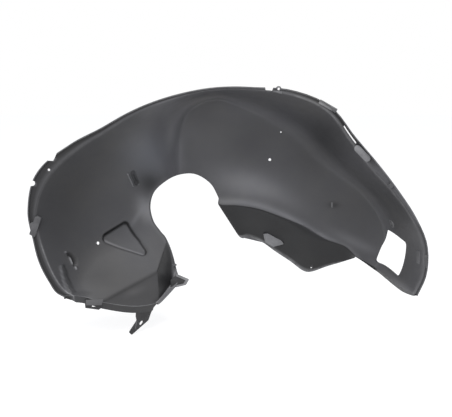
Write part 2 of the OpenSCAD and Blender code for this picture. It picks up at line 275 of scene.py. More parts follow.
# Straight ribs, and grooves where the height is negative: two points, width, height, soft edge
PAD_RIB = ((-199.7, 230.9), (-190.5, 202.6))
PAD_FIELD = ((-188.9, 232.9), (-181.5, 208.4))
BARS = (
    (*PAD_RIB, 3.4, 2.6, 1.2),
    (*PAD_FIELD, 10.5, -2.2, 1.6),
    ((-188.2, 229.2), (-181.9, 210.5), 1.6, 1.6, 1.2),
    ((-335.0, 45.7), (-311.6, -6.6), 6.0, 1.8, 4.0),
)
# Thumb hollow: ends and width of its standing edge, radii of its half oval, rise of the edge, depth
THUMB = ((-325.5, 75.5), (-304.5, 37.5))
THUMB_EDGE = 2.6
THUMB_OVAL = (20.0, 15.0)
THUMB_RISE, THUMB_DEPTH = 2.2, 3.6


def tray_fields(P):
    """Distance from the recess outline, from its lower edge, and height over the panel."""
    n = np.array([PANEL_SLOPE[0], -1.0, PANEL_SLOPE[1]])
    n /= np.linalg.norm(n)
    down, across = surface_axes(n)
    q = P - np.array([TRAY_MID[0], panel_depth(*TRAY_MID), TRAY_MID[1]])
    a, b = q @ down, q @ across
    d = polygon_distance(a, b, inset(TRAY, TRAY_ROUND)) - TRAY_ROUND
    return d, np.abs(side(a, b, TRAY[-1], TRAY[0])), q @ n


def bar_axes(P, a, b):
    """Places along and across the line between two points of the wall, and half its length."""
    c, n, _, _ = local_frame((a[0] + b[0]) / 2, (a[1] + b[1]) / 2)
    pa, pb = wall_point(*a), wall_point(*b)
    half = np.linalg.norm(pb - pa) / 2
    e = (pb - pa) / (2 * half)
    f = np.cross(n, e)
    f /= np.linalg.norm(f)
    v = P - c
    return v @ e, v @ f, half, np.abs(v @ n) < REACH


def bar(P, a, b, wide, high=1.0, soft=1.2):
    """Height of a straight rib or groove between two points of the wall."""
    along, across, half, near = bar_axes(P, a, b)
    dist = np.hypot(np.maximum(np.abs(along) - half, 0), across)
    return high * smooth((wide / 2 + soft / 2 - dist) / soft) * near


def thumb(P):
    """A thin standing edge, and the half round hollow beside it."""
    a, b, _, near = bar_axes(P, *THUMB)
    oval = np.hypot(a / THUMB_OVAL[0], b / THUMB_OVAL[1])
    return bar(P, *THUMB, THUMB_EDGE), smooth((1 - oval) * 3.0) * smooth((b - 0.6) / 1.2) * near


def relief(P):
    """Height of ribs, pads and recesses over the plain wall, along its normal."""
    d, low, up = tray_fields(P)
    # the side of the recess along its lower edge is slanted, the others are steep
    steep = smooth((-d + 0.3) / TRAY_STEEP)
    slant = smooth((low + 0.5) / TRAY_SLANT)
    h = -TRAY_DEPTH * np.minimum(steep, slant) + 0.5 * bell(d - 2.0, 2.0)
    h = np.where(np.abs(up) < REACH, h, 0)
    for b in BARS:
        h += bar(P, *b)
    edge, hollow = thumb(P)
    return h + THUMB_RISE * edge - THUMB_DEPTH * hollow


# The shell's grid: u runs along the stations, q across from the skirt over the wall to the lip

# rounding of the folds, and rows over the wall
ROUND = 3.2
WALL_ROWS = 160
# from one station to another, and how many columns to each
DENSITY = ((0, 11, 8), (11, 14.5, 12), (14.5, 15.8, 30), (15.8, 17.1, 16), (17.1, 20.2, 36), (20.2, LAST, 18))
# height of the bead along the crease
BEAD = ([0, 1.5, 3, 5, 7, 8.5, 9.6, 10], [0, 1.2, 3, 5, 4.5, 3, 1, 0])


def columns():
    parts = [np.linspace(a, b, round((b - a) * n), endpoint=False) for a, b, n in DENSITY]
    u = np.concatenate(parts + [[LAST]])
    return np.concatenate([[0.02], u[(u > 0.04) & (u < LAST - 0.04)], [LAST - 0.05]])


def bow(u, s):
    """How far the two ends of the wall hang below the straight line from inner edge to rim."""
    return 70 * np.clip(u - LAST + 1, 0, 1) * s * (1 - s) ** 2 + 50 * np.clip(1 - u, 0, 1) * s * s * (1 - s)


def corner(a, c, b, t):
    """Point at t on the curve that rounds the corner c between a and b."""
    return a * (1 - t) ** 2 + c * 2 * t * (1 - t) + b * t * t


def section(u):
    """Points of the wheel side for each u: skirt, wall, flange and lip, with rounded folds."""
    e, th = row(u), angle_at(u)
    r, draft = by_angle(th, RIM), by_angle(th, DRAFT)
    out = np.stack([np.cos(np.radians(th)), np.sin(np.radians(th))], -1)
    inner, rim = e[:, INNER], r[:, None] * out
    w = np.linalg.norm(inner - rim, axis=1)

    def spot(s):
        p = inner + (rim - inner) * s[:, None]
        x, z = p[:, 0], p[:, 1] - bow(u, s)
        return np.stack([x, bowl(x, z), z], -1)

    rad = np.stack([out[:, 0], 0 * th, out[:, 1]], -1)
    flange = rad * e[:, FLANGE]
    lip = e[:, LIP] * np.array([0.0, 1.0, 0.0])
    skirt = e[:, SKIRT]
    # the rows lie closest where the barrel turns into the wall
    turn = np.clip(1 - draft / w, 0.25, 0.88)
    before, after = turn - 0.1, np.minimum(turn + 0.1, 0.94)
    # the crease is rounded more widely near station 4
    fold = ROUND + 9 * bell(u - 4.2, 1.3)
    si, so = fold / w, 1 - ROUND / w
    pts, q = [], []
    c0, c1 = spot(0 * u), spot(1 + 0 * u)
    ls = np.linalg.norm(skirt, axis=1, keepdims=True)
    a0 = c0 + skirt * np.minimum(fold[:, None] / ls, 0.4)
    for t in np.linspace(1, 0, 9)[:-1]:
        pts.append(c0 + skirt - (c0 + skirt - a0) * (1 - t))
        q.append(-1.0)
    b0 = spot(si)
    for t in np.linspace(0, 1, 6)[:-1]:
        pts.append(corner(a0, c0, b0, t))
        q.append(-1 + t)
    for f in np.linspace(0, 16, WALL_ROWS + 1):
        if f < 5:
            s = before * f / 5
        elif f < 11:
            s = before + (after - before) * (f - 5) / 6
        else:
            s = after + (1 - after) * (f - 11) / 5
        pts.append(spot(si + (so - si) * s))
        q.append(f)
    ra = np.minimum(ROUND / e[:, FLANGE], 0.45)
    fa = c1 + flange * ra
    b1 = spot(so)
    for t in np.linspace(0, 1, 6)[1:-1]:
        pts.append(corner(b1, c1, fa, t))
        q.append(16 + t)
    fb = c1 + flange * (1 - np.minimum(1.5 / e[:, FLANGE], 0.35))
    for t in (0.0, 0.5, 1.0):
        pts.append(fa * (1 - t) + fb * t)
        q.append(17 + t)
    c2 = c1 + flange
    lc = c2 + lip * np.minimum(1.5 / np.abs(e[:, LIP]), 0.45)
    for t in (0.33, 0.67, 1.0):
        pts.append(corner(fb, c2, lc, t))
        q.append(18 + t / 2)
    pts.append(c2 + lip * 0.75)
    pts.append(c2 + lip)
    q += [18.8, 19]
    G, q = np.stack(pts, 1), np.array(q)
    # raised bead along the crease above the skirt
    d = np.linalg.norm(G - c0[:, None], axis=-1) * np.where(q < 0, -1, 1)
    G[..., 1] -= np.interp(u, *BEAD)[:, None] * bell(d - 10, 9.0) * (q < 16)
    return G, q, d


def front_grid():
    """Wheel side with folded ends and relief: points, row and station numbers, distance from the crease."""
    u = columns()
    G, q, d = section(u)
    ends = section(np.array([0.0, float(LAST)]))[0]
    f_front = np.interp(q, [-1, 0, 5, 14, 16, 17], [0.05, 0.12, 0.8, 1, 0.5, 0.25])
    f_rear = np.interp(q, [-1, 0, 1, 2, 16, 17, 18], [0.1, 0.4, 0.75, 1, 1, 0.7, 0.4])

    def end_columns(near, edge, v):
        n = np.linalg.norm(v, axis=1, keepdims=True)
        a = edge + v * np.minimum(3.0 / n, 0.4)
        cols = [corner(near, edge, a, t) for t in (0.25, 0.5, 0.75, 1.0)]
        cols += [a + (edge + v - a) * t for t in (0.3, 0.65, 1.0)]
        return cols

    first = end_columns(G[0], ends[0], FRONT_FOLD * f_front[:, None])
    final = end_columns(G[-1], ends[1], REAR_FOLD * f_rear[:, None])
    G = np.concatenate([np.stack(first[::-1]), G, np.stack(final)])
    wall = (q >= -0.5) & (q <= 16.5)
    h = relief(G) * wall
    N = normal_at(G[..., 0], G[..., 2])
    n = len(first)
    along = np.concatenate([np.linspace(-1, 0, n, endpoint=False), u, np.linspace(LAST, LAST + 1, n + 1)[1:]])
    d = np.concatenate([np.repeat(d[:1], n, 0), d, np.repeat(d[-1:], n, 0)])
    return G + N * h[..., None], q, along, d


def cells(index):
    """Corners of each cell of a grid of point numbers."""
    return index[:-1, :-1], index[1:, :-1], index[1:, 1:], index[:-1, 1:]


def grid_normals(G):
    du, dv = np.gradient(G, axis=0), np.gradient(G, axis=1)
    n = np.cross(du, dv)
    return n / np.maximum(np.linalg.norm(n, axis=-1, keepdims=True), 1e-9)


def shell_mesh(G):
    """Closed shell: the wheel side, a coarser back at wall thickness, and strips round the edge."""
    if G.shape[0] % 2 == 0:
        G = np.delete(G, 40, axis=0)
    if G.shape[1] % 2 == 0:
        G = np.delete(G, G.shape[1] // 2, axis=1)
    ni, nj = G.shape[:2]
    N = grid_normals(G)
    if N[ni // 2, nj // 2, 1] > 0:
        N = -N
    B = (G - N * WALL)[::2, ::2]
    bi, bj = B.shape[:2]
    verts = np.concatenate([G.reshape(-1, 3), B.reshape(-1, 3)]) * MM
    base = ni * nj
    idx = np.arange(ni * nj).reshape(ni, nj)
    jdx = base + np.arange(bi * bj).reshape(bi, bj)
    a, b, c, d = cells(idx)
    quads = np.stack([a, b, c, d], -1).reshape(-1, 4).tolist()
    a, b, c, d = cells(jdx)
    quads += np.stack([a, d, c, b], -1).reshape(-1, 4).tolist()
    tris = []

    def strip(front, back, flip):
        for k in range(len(back) - 1):
            f0, f1, f2, b0, b1 = front[2 * k], front[2 * k + 1], front[2 * k + 2], back[k], back[k + 1]
            for t in ((f0, b0, f1), (f1, b0, b1), (f1, b1, f2)):
                tris.append(t[::-1] if flip else t)

    strip(idx[:, 0].tolist(), jdx[:, 0].tolist(), False)
    strip(idx[:, -1].tolist(), jdx[:, -1].tolist(), True)
    strip(idx[0, :].tolist(), jdx[0, :].tolist(), True)
    strip(idx[-1, :].tolist(), jdx[-1, :].tolist(), False)
    me = bpy.data.meshes.new("shell")
    me.from_pydata(verts.tolist(), [], quads + tris)
    me.update()
    bm = bmesh.new()
    bm.from_mesh(me)
    bmesh.ops.recalc_face_normals(bm, faces=bm.faces)
    bm.to_mesh(me)
    bm.free()
    return me


def obj(name, me):
    o = bpy.data.objects.new(name, me)
    bpy.context.scene.collection.objects.link(o)
    return o


# Solid helpers

def fillet(pts, r, steps=5):
    """Polygon with its convex corners rounded."""
    out, n = [], len(pts)
    area = sum(pts[i][0] * pts[(i + 1) % n][1] - pts[i][1] * pts[(i + 1) % n][0] for i in range(n))
    for i in range(n):
        a, b, c = (np.array(pts[k % n], float) for k in (i - 1, i, i + 1))
        u, v = a - b, c - b
        lu, lv = np.linalg.norm(u), np.linalg.norm(v)
        u, v = u / lu, v / lv
        half = math.acos(max(-1, min(1, float(u @ v)))) / 2
        cut = min(r / max(math.tan(half), 1e-6), 0.45 * lu, 0.45 * lv)
        if cut < 0.05 or half > 1.5:
            out.append(tuple(b))
            continue
        for t in np.linspace(0, 1, steps + 1):
            out.append(tuple(corner(b + u * cut, b, b + v * cut, t)))
    return out if area > 0 else out[::-1]


def prism(name, pts, lo, hi, matrix=None, bevel=0.0):
    """Outline pts in the local x and z, from lo to hi along the local y, all in millimetres."""
    bm = bmesh.new()
    n = len(pts)
    ring = [[bm.verts.new((p[0], y, p[1])) for p in pts] for y in (lo, hi)]
    bm.faces.new(ring[0])
    bm.faces.new(ring[1][::-1])
    for i in range(n):
        k = (i + 1) % n
        bm.faces.new((ring[0][k], ring[0][i], ring[1][i], ring[1][k]))
    bmesh.ops.recalc_face_normals(bm, faces=bm.faces)
    if bevel:
        edges = [e for e in bm.edges
                 if abs(e.verts[0].co.y - e.verts[1].co.y) < 1e-6 or e.calc_face_angle(0) > 0.6]
        bmesh.ops.bevel(bm, geom=edges, offset=bevel, segments=2, profile=0.5, affect="EDGES",
                        clamp_overlap=True)
    if matrix is not None:
        bm.transform(matrix)
    bm.transform(Matrix.Scale(MM, 4))
    me = bpy.data.meshes.new(name)
    bm.to_mesh(me)
    bm.free()
    return obj(name, me)


def radial_matrix(th, r):
    """Local x points outwards at angle th and radius r."""
    t = math.radians(th)
    return Matrix.Translation((r * math.cos(t), 0, r * math.sin(t))) @ Matrix.Rotation(-t, 4, "Y")


def rim_radius(th):
    return float(by_angle(np.array(float(th)), RIM))


def rim_matrix(th, out=0.0):
    return radial_matrix(th, rim_radius(th) + out)


def screw_matrix(th):
    return radial_matrix(th, SCREW_CIRCLE)


def wall_matrix(x, z):
    """Local z stands on the wall."""
    c, n, ax, ay = local_frame(x, z)
    m = Matrix(((ax[0], ay[0], n[0]), (ax[1], ay[1], n[1]), (ax[2], ay[2], n[2]))).to_4x4()
    return Matrix.Translation(c) @ m


def upright(matrix):
    """Turns a prism so that it runs along the local z of matrix."""
    return matrix @ Matrix.Rotation(math.radians(90), 4, "X")


def rear_spot(s):
    """Point on the crest of the rear edge."""
    u = np.array([float(LAST)])
    e, th = row(u), angle_at(u)
    rim = by_angle(th, RIM)[:, None] * np.stack([np.cos(np.radians(th)), np.sin(np.radians(th))], -1)
    p = e[:, INNER] + (rim - e[:, INNER]) * s
    return wall_point(p[0, 0], p[0, 1] - bow(LAST, s))


def rear_matrix(s):
    """Local x runs along the crest of the rear edge."""
    p, q = rear_spot(s), rear_spot(s + 0.1)
    return Matrix.Translation(p) @ Matrix.Rotation(math.atan2(p[1] - q[1], p[0] - q[0]), 4, "Z")


def circle(x, z, r, n=28):
    return [(x + r * math.cos(2 * math.pi * i / n), z + r * math.sin(2 * math.pi * i / n)) for i in range(n)]


def hull_outline(circles, extra=(), n=20):
    """Outline round several circles and points."""
    pts = [p for c in circles for p in circle(*c, n)] + list(extra)
    pts = sorted(set((round(a, 4), round(b, 4)) for a, b in pts))

    def half(seq):
        out = []
        for p in seq:
            while len(out) > 1 and ((out[-1][0] - out[-2][0]) * (p[1] - out[-2][1])
                                    - (out[-1][1] - out[-2][1]) * (p[0] - out[-2][0])) <= 0:
                out.pop()
            out.append(p)
        return out[:-1]

    return half(pts) + half(pts[::-1])


def apply_boolean(target, cutters):
    """Takes the cutters away from the target, and deletes them."""
    for c in cutters:
        m = target.modifiers.new("cut", "BOOLEAN")
        m.object, m.operation, m.solver = c, "DIFFERENCE", "MANIFOLD"
    deps = bpy.context.evaluated_depsgraph_get()
    me = bpy.data.meshes.new_from_object(target.evaluated_get(deps))
    target.modifiers.clear()
    target.data = me
    for c in cutters:
        bpy.data.objects.remove(c)


def rim_point(th, out):
    r = rim_radius(th) + out
    return (r * math.cos(math.radians(th)), r * math.sin(math.radians(th)))


def oblong(x0, z0, x1, z1):
    return [(x0, z0), (x1, z0), (x1, z1), (x0, z1)]


# Holes and notches

SCREW_R = 2.5
SCREW_CIRCLE = 430.5
EAR_AT, REAR_SCREW_AT = 74.4, 144.3
# window, as an outline in a plane turned towards the front of the barrel
WINDOW = [(-57, 27), (-46, -47), (60, -36), (49.5, 3), (36, 41)]
WINDOW_TURN, WINDOW_AT = 35, (300, -90, 57)
# slot between rim and flange: angles, and how far outside the rim
SLOT_ANGLES, SLOT_FROM, SLOT_TO = (48.2, 50, 52, 53.9), 5, 7.6
# notches in the flange: angle, outline, depth from and to
NOTCHES = (
    (76.9, [(-3.5, -6), (-3, 4), (0, 6), (24, 16), (24, -9), (2, -7)], -10, 6),
    (140.6, [(20, -10), (40, -12), (40, 14), (24, 14), (16, 8)], -10, 10),
    (150, circle(24, -2, 6), -10, 10),
)
# clip and water holes square to the wall: x, z, radius
WALL_HOLES = ((107, 253, 3.0), (131, 314, 1.5), (-263, 84.5, 3.5))
SKIRT_PIN = (207, -4, 1.5)


def cut_holes(shell):
    turn = Matrix.Rotation(math.radians(WINDOW_TURN), 4, "Z")
    quarter = Matrix.Rotation(math.radians(90), 4, "Z")
    slot = [rim_point(t, SLOT_FROM) for t in SLOT_ANGLES]
    slot += [rim_point(t, SLOT_TO) for t in SLOT_ANGLES[::-1]]
    cutters = [
        prism("cut", fillet(WINDOW, 8), -170, 0, turn @ Matrix.Translation(WINDOW_AT) @ quarter),
        prism("cut", slot, -12, 12),
    ]
    cutters += [prism("cut", pts, lo, hi, rim_matrix(th)) for th, pts, lo, hi in NOTCHES]
    cutters += [prism("cut", circle(0, 0, SCREW_R), -10, 10, screw_matrix(th))
                for th in (REAR_SCREW_AT, EAR_AT)]
    cutters += [prism("cut", circle(0, 0, r), -10, 10, upright(wall_matrix(x, z)))
                for x, z, r in WALL_HOLES]
    cutters.append(prism("cut", circle(*SKIRT_PIN), 240, 300))
    apply_boolean(shell, cutters)


# Tabs, ear, leg and lug

# tabs on the rim: name, angle, distance outside the rim, outline, depth from and to, bevel
TABS = (
    ("stand_tab", 60.5, 0, fillet([(4, -20), (13, -20), (13, 20), (4, 20)], 2), -4.3, 2.2, 0.5),
    ("tab", 58.6, 0, fillet([(7, -5), (13, -5), (13, 3), (7, 3)], 1), -8.6, 0.8, 0.5),
    ("clip_tab", 44.9, 2, hull_outline([(2, 14, 7), (2, -14, 7)]), -4.3, 0.7, 0.8),
    ("tab", 32.5, 0, fillet([(2, -5), (10, -5), (10, 5), (2, 5)], 1.5), -5.6, 1, 0.5),
    ("tab", 8.7, 0, fillet([(1, -16), (5, -16), (8.8, 8), (8, 12), (1, 12)], 1.5), -3.4, 2.1, 0.5),
    ("tab", 160.3, 0, fillet([(-4, -20), (5, -22), (9, -18), (9, 20), (-4, 22)], 2), -4.4, 2.1, 0.6),
    ("tab", 160.4, 0, circle(8, 0, 7), -4.2, 2, 0.6),
    ("tab", 162.2, 0, circle(9, 0, 6), -4.3, 2.1, 0.6),
)


def ear():
    base = [(-8, -9), (-5, -9), (-5, 9), (-8, 9)]
    o = prism("ear", hull_outline([(0, 0, SCREW_R + 3.2)], base), 0.3, 2.2, screw_matrix(EAR_AT), 0.4)
    apply_boolean(o, [prism("cut", circle(0, 0, SCREW_R), -5, 8, screw_matrix(EAR_AT))])
    return [o]


def rear_leg():
    """Leg with a slotted foot, and a small rib across it."""
    m = Matrix.Translation(REAR_FOLD) @ rear_matrix(0.13)
    outline = [(-24, 4), (-25, -6), (-23, -15), (-42.5, -38.5), (-36, -45), (6, -19), (14, -1), (21, 6)]
    o = prism("leg", fillet(outline, 2), 0.4, 0.4 + WALL, m, 0.5)
    slot = hull_outline([(-1.4, -1.4, 3.25), (1.4, 1.4, 3.25)])
    apply_boolean(o, [prism("cut", slot, -5, 8, m @ Matrix.Translation((-12, 0, -22)))])
    rib_m = m @ Matrix.Translation((-26, 0.4, -25)) @ Matrix.Rotation(math.radians(15), 4, "Y")
    return [o, prism("leg_rib", oblong(-1.5, -9, 1.5, 9), -1.5, 0.5, rib_m, 0.6)]


def clip_plate():
    """Plate with a loop below it on the rear edge, both slotted."""
    m = rear_matrix(0.745)
    plate = [(-19, 1), (18, 1), (14, -12), (-18, -11)]
    loop = [(-21, -3), (16, -5), (15, -17), (8, -22), (-3, -20), (-20, -17)]
    pieces = [prism("plate", fillet(plate, 1.5), -1, WALL - 1, m, 0.4),
              prism("loop", fillet(loop, 1.5), 2, 5, m, 0.4)]
    for o in pieces:
        apply_boolean(o, [prism("cut", oblong(-6, -15.5, 3, -12.5), -6, 12, m)])
    return pieces


def lug():
    """Lug at the lower end of the cut-out, its raised border, and a thorn above it."""
    outline = [(-112, -8), (-98, 6), (-71, -6), (-78, -18), (-98, -23), (-112, -25)]
    y = wall_point(-105.0, -14.0)[1] - 11
    border = prism("lug_rim", fillet(outline, 2), y - 2, y + 1)
    inner = [(x - 3, z) for x, z in inset(outline, 3.5)]
    open_end = oblong(-130, -40, -100, 20)
    apply_boolean(border, [prism("cut", pts, y - 5, y + 5) for pts in (inner, open_end)])
    thorn_y = wall_point(-104.0, 20.0)[1]
    thorn = [(-109, 17), (-98, 23), (-103, 27), (-109, 25)]
    return [prism("lug", fillet(outline, 2), y, y + WALL, None, 0.5), border,
            prism("thorn", thorn, thorn_y - 2, thorn_y + 2, None, 0.5)]


def skirt_pieces():
    """Foot box behind the skirt, and the lip along its free edge."""
    foot = [(95, 77), (121, 81), (143, 54), (118, 47), (100, 58)]
    box = prism("foot", fillet(foot, 2), 255, 281, None, 0.8)
    apply_boolean(box, [prism("cut", fillet(inset(foot, WALL), 1.5), 255 + WALL, 320)])
    la, lb = (wall_point(*STATIONS[k, INNER]) + STATIONS[k, SKIRT] for k in (9, 8))
    m = Matrix.Translation(la) @ Matrix.Rotation(math.atan2(lb[1] - la[1], lb[0] - la[0]), 4, "Z")
    return [box, prism("skirt_lip", [(0, 3), (60, -8), (58, -19), (4, -4)], -1, WALL - 1, m, 0.4)]


def wall_pieces():
    """Boss over the window, ring round the clip hole, and two low pads."""
    boss_m, ring_m = upright(wall_matrix(374, 117)), upright(wall_matrix(107, 253))
    boss = prism("boss", circle(0, 0, 10), -2, 1.8, boss_m, 0.6)
    apply_boolean(boss, [prism("cut", circle(0, 0, 6.5), 0.4, 6, boss_m)])
    ring = prism("ring", circle(0, 0, 5.6), -1, 0.5, ring_m, 0.3)
    apply_boolean(ring, [prism("cut", circle(0, 0, 3), -6, 6, ring_m)])
    pads = [prism("pad", fillet(oblong(-a, -b, a, b), 1.5), -2, high, upright(wall_matrix(x, z)), 0.5)
            for x, z, a, b, high in ((411, 66, 14, 8, 1.4), (246, 152, 6, 2.2, 1.2))]
    return [boss, ring] + pads


# Material

TONES = ((0.3, (0.052, 0.052, 0.057, 1)), (0.5, (0.06, 0.06, 0.064, 1)), (0.72, (0.07, 0.069, 0.07, 1)))
# bluish colour of a painted reflection
SHEEN_BLUE = (0.075, 0.085, 0.105, 1)
# light grey of painted highlights along edges
EDGE_HIGHLIGHT_GREY = (0.30, 0.30, 0.31, 1)


def moulded_plastic():
    """Black plastic, with cloudy tone, smeared gloss and grain, and painted light and shade, a painted bluish
    reflection and painted edge highlights, which are 0 where nothing is painted.
    """
    mat = bpy.data.materials.new("moulded_plastic")
    mat.use_nodes = True
    nodes, links = mat.node_tree.nodes, mat.node_tree.links
    bsdf = nodes["Principled BSDF"]
    coord = nodes.new("ShaderNodeTexCoord")

    def noise(scale, detail, rough):
        n = nodes.new("ShaderNodeTexNoise")
        n.inputs["Scale"].default_value = scale
        n.inputs["Detail"].default_value = detail
        n.inputs["Roughness"].default_value = rough
        links.new(coord.outputs["Object"], n.inputs["Vector"])
        return n.outputs["Fac"]

    def ramp(src, *stops):
        r = nodes.new("ShaderNodeValToRGB")
        first, final = r.color_ramp.elements
        first.position, first.color = stops[0]
        final.position, final.color = stops[-1]
        for pos, col in stops[1:-1]:
            r.color_ramp.elements.new(pos).color = col
        links.new(src, r.inputs["Fac"])
        return r.outputs["Color"]

    def grey(pos, value):
        return pos, (value, value, value, 1)

    def attribute(name):
        a = nodes.new("ShaderNodeAttribute")
        a.attribute_name = name
        return a.outputs["Fac"]

    def mix(fac, a, b):
        m = nodes.new("ShaderNodeMix")
        m.data_type = "RGBA"
        links.new(fac, m.inputs[0])
        links.new(a, m.inputs[6])
        m.inputs[7].default_value = b
        return m.outputs[2]

    # painted light and shade, kept in an attribute, scales the plastic's cloudy tone
    painted_lift = nodes.new("ShaderNodeMath")
    painted_lift.operation = "ADD"
    links.new(attribute("painted_shading"), painted_lift.inputs[0])
    painted_lift.inputs[1].default_value = 1.0
    shaded = nodes.new("ShaderNodeVectorMath")
    shaded.operation = "SCALE"
    links.new(ramp(noise(5.5, 5.0, 0.6), *TONES), shaded.inputs[0])
    links.new(painted_lift.outputs["Value"], shaded.inputs["Scale"])
    # painted highlights along edges, speckled with noise
    edge_highlight_speckled = nodes.new("ShaderNodeMath")
    edge_highlight_speckled.operation = "MULTIPLY"
    links.new(attribute("painted_edge_highlight"), edge_highlight_speckled.inputs[0])
    links.new(ramp(noise(60.0, 3.0, 0.6), grey(0.3, 0.35), grey(0.65, 1)), edge_highlight_speckled.inputs[1])
    # painted bluish reflection mixed into the colour
    sheen_mixed = mix(attribute("painted_sheen"), shaded.outputs["Vector"], SHEEN_BLUE)
    links.new(mix(edge_highlight_speckled.outputs["Value"], sheen_mixed, EDGE_HIGHLIGHT_GREY), bsdf.inputs["Base Color"])
    links.new(ramp(noise(14.0, 6.0, 0.65), grey(0.3, 0.40), grey(0.7, 0.54)), bsdf.inputs["Roughness"])
    bsdf.inputs["Specular IOR Level"].default_value = 0.22
    bump = nodes.new("ShaderNodeBump")
    bump.inputs["Strength"].default_value = 0.25
    bump.inputs["Distance"].default_value = 0.0004
    links.new(noise(900.0, 2.0, 0.5), bump.inputs["Height"])
    links.new(bump.outputs["Normal"], bsdf.inputs["Normal"])
    return mat


# Painted light and shade: how much lighter or darker the plastic is painted, over the station number

# painted shade under the skirt and on the barrel, painted highlights along the fold, the crease and the
# cut-out's edge, and painted shade with one lighter painted strip on the flange
SKIRT_PAINTED_SHADE = ([-1, 2, 9.6, 10.2], [-0.75, -0.7, -0.7, 0])
FOLD_PAINTED_HIGHLIGHT = ([1, 3, 7, 12, 14, 16], [0.2, 0.5, 0.4, 0.7, 0.45, 0])
CREASE_PAINTED_HIGHLIGHT = ([2, 3.5, 9, 9.8], [0.4, 1.3, 0.9, 0])
CUT_OUT_PAINTED_HIGHLIGHT = ([12, 14, 19, 20], [0, 0.35, 0.35, 0])
BARREL_PAINTED_SHADE = ([11, 13, 16, 20, 21], [0, -0.3, -0.25, -0.2, 0])
FLANGE_PAINTED_SHADE_AND_LIGHT = ([1, 2.6, 3, 4.8, 5.2, 6, 7, 8, 10, 12, 14, 17, 21],
               [-0.4, -0.3, 0.3, 0.3, -0.5, -0.85, -0.75, -0.3, -0.35, -0.5, -0.75, -0.75, -0.7])
# painted highlight along the crest of the rim: how strong, and how wide
CREST_HIGHLIGHT = ([0, 5, 6.5, 8.3, 9, 12, 16, 17.8, 18.3, 22], [0.2, 0.2, 0.3, 0.5, 0.15, 0.15, 0.05, 0.1, 0.4, 0.6])
CREST_HIGHLIGHT_WIDTH = ([16, 17], [0.3, 0.2])
# long soft highlights and shadows on the wall: two points, width, soft edge, amount
PAINTED_STREAKS = (
    ((-337.5, 44.5), (-316, -9), 4.0, 4.0, 0.7),
    ((-329, 47), (-305, -5), 5.0, 4.0, -0.4),
    (*PAD_RIB, 2.4, 1.2, 1.4),
    (*PAD_FIELD, 10, 1.2, -0.5),
)
# painted bluish reflection: x, z, radii, turn, amount
SHEEN_PATCH = (-152, 270, 45, 45, 0, 0.35)
# soft patches of painted light and shade: x, z, radii, turn, amount
PAINTED_PATCHES = (
    (-150, 290, 50, 45, 0, 0.9),
    (-156, 212, 26, 26, 0, -0.9),
    (-100, 350, 45, 50, 0, 0.9),
    (-101, 275, 14, 60, 5, 0.7),
    (-107, 238, 12, 22, 0, 0.5),
    (0, 374, 95, 28, -5, 0.6),
    (-76, 285, 18, 29, 0, -0.12),
    (-14, 330, 90, 60, 0, 0.15),
    (-166, 150, 16, 30, 20, 1.3),
    (-186, 131, 22, 6, 58, 0.5),
    (-160, 90, 50, 53, 0, 0.25),
    (-235, 5, 75, 40, -10, -0.2),
    (-185, -16, 22, 8, 15, 0.3),
    (-121, -14, 12, 25, 0, -0.1),
    (60, 196, 75, 32, -12, 1.1),
    (140, 165, 60, 20, -30, 0.3),
    (59, 286, 60, 45, 0, -0.2),
    (200, 260, 50, 60, 40, -0.3),
    (250, 152, 12, 6, 0, -0.5),
    (225, 320, 60, 40, -50, -0.35),
    (290, 150, 70, 60, 0, -0.15),
    (374, 174, 75, 20, -50, -0.45),
    (300, 66, 60, 12, -25, 0.6),
    (385, -6, 50, 8, -30, 0.9),
    (-325, 175, 115, 110, 0, -0.32),
    (378, 196, 8, 12, 30, 0.6),
    (424, 117, 12, 10, 0, 0.5),
)
# the small pieces: how much painted light or shade, and how strong the painted highlight on their edges
PIECE_PAINTED_LIGHT = {
    "clip_tab": (0.4, 0.35),
    "tab": (-0.35, 0.12),
    "stand_tab": (0.5, 0.3),
    "ear": (0.2, 0.3),
    "leg": (-0.55, 0.05),
    "leg_rib": (0.0, 0.1),
    "plate": (0.1, 0.05),
    "loop": (-0.5, 0.0),
    "lug": (-0.75, 0.1),
    "lug_rim": (0.5, 0.5),
    "thorn": (0.0, 0.1),
    "foot": (1.0, 0.35),
    "skirt_lip": (0.3, 0.2),
    "boss": (0.3, 0.25),
    "ring": (0.0, 0.0),
    "pad": (0.3, 0.1),
}


def patch(x, z, cx, cz, rx, rz, turn, amount):
    """Soft oval patch, strongest at its middle."""
    c, s = math.cos(math.radians(turn)), math.sin(math.radians(turn))
    a, b = (x - cx) * c + (z - cz) * s, -(x - cx) * s + (z - cz) * c
    return amount * np.exp(-((a / rx) ** 2 + (b / rz) ** 2))


def grid_places(v, grid):
    """For each point of v: station and row number, distance from the crease, and if the grid is near it."""
    G, q, along, d = grid
    tree = KDTree(G.shape[0] * G.shape[1])
    for k, point in enumerate(G.reshape(-1, 3)):
        tree.insert(point, k)
    tree.balance()
    found = [tree.find(point) for point in v]
    near = np.array([f[1] for f in found])
    on = np.array([f[2] for f in found]) < 1.5
    return along[near // G.shape[1]], q[near % G.shape[1]], d.reshape(-1)[near], on


def recess_painted_light(v):
    """Painted shade along the outline, a painted highlight on the slanted side, and a slightly lighter
    painted floor.
    """
    d, low, up = tray_fields(v)
    band = 1.7 * bell(low - 5.5, 3.5) * smooth((-d - 1.5) / 2)
    outline = (0.3 + 0.5 * smooth((low - 2) / 4)) * bell(d + 0.5, 2.2)
    return (np.abs(up) < REACH) * (band - outline + 0.08 * smooth((-d - 3) / 3))


